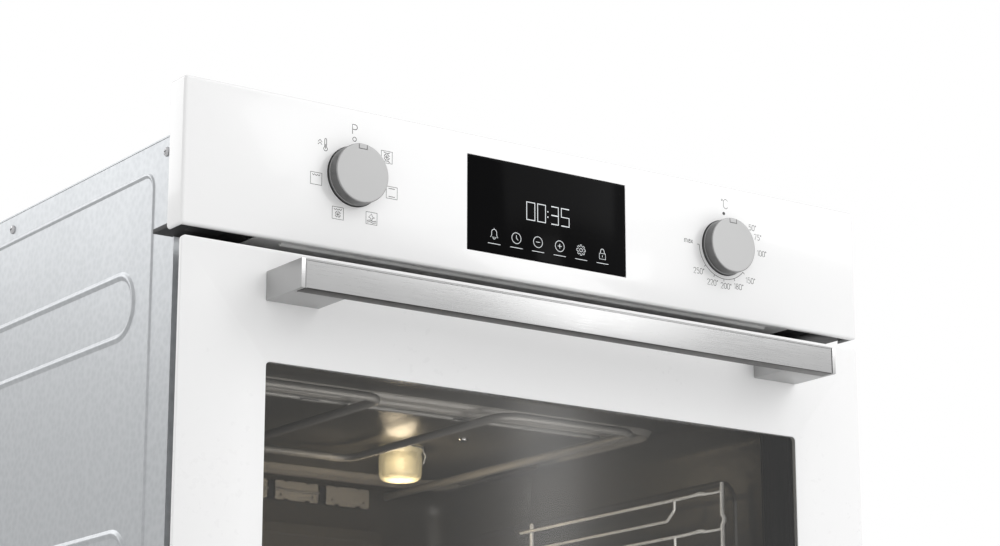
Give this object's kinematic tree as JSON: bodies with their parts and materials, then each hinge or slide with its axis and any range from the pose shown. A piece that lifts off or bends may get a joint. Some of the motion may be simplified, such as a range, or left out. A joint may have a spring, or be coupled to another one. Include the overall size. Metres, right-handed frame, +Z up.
{
  "type": "wall oven",
  "caption": "Built-in electric oven with a white front panel, two turning push-in knobs, a display, a bar handle and a drop-down glass door over an enamelled cavity.",
  "frame": {"origin": "middle of the base tray's underside", "axes": "+X to the right of someone facing the oven, +Y into the cabinet, +Z up"},
  "size_m": [0.595, 0.634, 0.595],
  "materials": {
    "white_enamel_glass": "gloss",
    "white_panel": "gloss",
    "black_glass": "gloss",
    "tinted_glass": "gloss",
    "knob_metal": "satin",
    "brushed_steel": "satin",
    "screw_steel": "satin",
    "galvanised_steel": "satin",
    "deflector_steel": "satin",
    "black_plastic": "matte",
    "door_frame_paint": "satin",
    "cavity_enamel": "gloss",
    "heater_tube": "satin",
    "rack_chrome": "polished",
    "probe_copper": "polished",
    "lamp_glass": "gloss",
    "lamp_glow": "gloss",
    "lamp_ceramic": "matte",
    "glass_wool": "matte",
    "seal_rubber": "matte",
    "circuit_board": "satin",
    "motor_steel": "satin",
    "fan_aluminium": "satin"
  },
  "bodies": {
    "carcass": {"control_panel_fascia": "white_panel", "display_glass": "black_glass", "panel_bracket": "galvanised_steel", "air_duct": "galvanised_steel", "cooling_fan_housing": "galvanised_steel", "side_casing_left": "galvanised_steel", "side_casing_right": "galvanised_steel", "top_cover": "galvanised_steel", "base_tray": "galvanised_steel", "rear_cover": "galvanised_steel", "hinge_arm_left": "galvanised_steel", "hinge_arm_right": "galvanised_steel", "thermostat_body": "galvanised_steel", "vent_deflector": "deflector_steel", "vent_trim_left": "black_plastic", "vent_trim_right": "black_plastic", "function_switch": "black_plastic", "terminal_box": "black_plastic", "cavity_liner": "cavity_enamel", "front_frame": "cavity_enamel", "fan_baffle": "cavity_enamel", "rear_vent_strip": "cavity_enamel", "mounting_flange_left": "cavity_enamel", "mounting_flange_right": "cavity_enamel", "grill_element": "heater_tube", "grill_support": "heater_tube", "ring_element": "heater_tube", "bottom_element": "heater_tube", "side_rack_left": "rack_chrome", "side_rack_right": "rack_chrome", "thermostat_probe": "probe_copper", "lamp_cover": "lamp_glass", "lamp_bulb": "lamp_glow", "lamp_holder": "lamp_ceramic", "insulation_wrap": "glass_wool", "door_gasket": "seal_rubber", "display_module": "circuit_board", "convection_motor": "motor_steel", "cooling_fan_motor": "motor_steel"},
    "door": {"door_outer_glass": "white_enamel_glass", "door_middle_glass": "tinted_glass", "door_inner_glass": "tinted_glass", "door_top_rail": "door_frame_paint", "door_bottom_rail": "black_plastic", "door_side_left": "door_frame_paint", "door_side_right": "door_frame_paint", "hinge_body_left": "galvanised_steel", "hinge_body_right": "galvanised_steel", "handle_bar": "brushed_steel", "handle_bracket_left": "brushed_steel", "handle_bracket_right": "brushed_steel", "handle_screw_left": "screw_steel", "handle_screw_right": "screw_steel"},
    "function_shaft": {"function_shaft": "galvanised_steel"},
    "function_knob": {"function_knob": "knob_metal"},
    "thermostat_shaft": {"thermostat_shaft": "galvanised_steel"},
    "thermostat_knob": {"thermostat_knob": "knob_metal"},
    "convection_fan": {"convection_fan": "fan_aluminium"},
    "cooling_fan_rotor": {"cooling_fan_rotor": "fan_aluminium"}
  },
  "joints": [
    {"name": "door_hinge", "type": "hinge", "parent": "carcass", "child": "door", "pos_m": [0, -0.276, 0.02], "axis": [1, 0, 0], "range_deg": [0, 90], "stiffness_Nm_per_rad": 7, "springref_deg": -45.84},
    {"name": "function_turn", "type": "hinge", "parent": "carcass", "child": "function_shaft", "pos_m": [-0.165, -0.3, 0.546], "axis": [0, 1, 0], "continuous": true},
    {"name": "function_push", "type": "slide", "parent": "function_shaft", "child": "function_knob", "axis": [0, 1, 0], "range_m": [0, 0.009], "stiffness_N_per_m": 150, "springref_m": -0.012},
    {"name": "thermostat_turn", "type": "hinge", "parent": "carcass", "child": "thermostat_shaft", "pos_m": [0.165, -0.3, 0.546], "axis": [0, 1, 0], "range_deg": [0, 272]},
    {"name": "thermostat_push", "type": "slide", "parent": "thermostat_shaft", "child": "thermostat_knob", "axis": [0, 1, 0], "range_m": [0, 0.009], "stiffness_N_per_m": 150, "springref_m": -0.012},
    {"name": "convection_fan_spin", "type": "hinge", "parent": "carcass", "child": "convection_fan", "pos_m": [0, 0.176, 0.2485], "axis": [0, 1, 0], "continuous": true},
    {"name": "cooling_fan_spin", "type": "hinge", "parent": "carcass", "child": "cooling_fan_rotor", "pos_m": [0, 0.085, 0.51], "axis": [1, 0, 0], "continuous": true}
  ]
}
